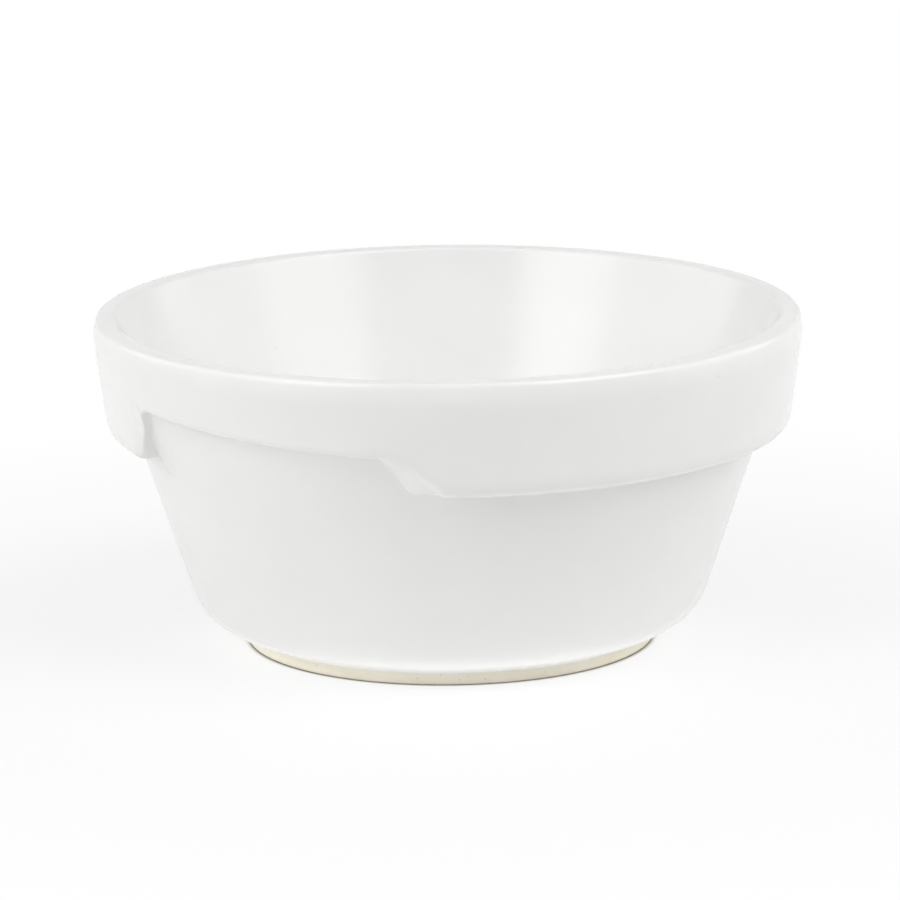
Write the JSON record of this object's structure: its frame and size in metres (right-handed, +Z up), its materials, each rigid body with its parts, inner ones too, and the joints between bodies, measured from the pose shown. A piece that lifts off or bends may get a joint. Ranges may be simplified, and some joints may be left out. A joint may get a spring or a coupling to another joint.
{
  "type": "ramekin",
  "caption": "Small round white-glazed stoneware oven dish with a leaning wall, a thick collar stepped up at opposite notches, a flat lip and a bare ring foot.",
  "frame": {"origin": "on the table, in the middle of the foot", "axes": "+Z up along the axis of the dish; the notches in the collar face -Y and +Y"},
  "size_m": [0.1, 0.1, 0.047],
  "materials": {
    "bare_clay": "fired, unglazed, cream, matt",
    "white_glaze": "glossy white glaze"
  },
  "bodies": {
    "root": {"clay_body": "bare_clay", "inner_glaze": "white_glaze", "outer_glaze": "white_glaze", "base_glaze": "white_glaze"}
  },
  "joints": []
}
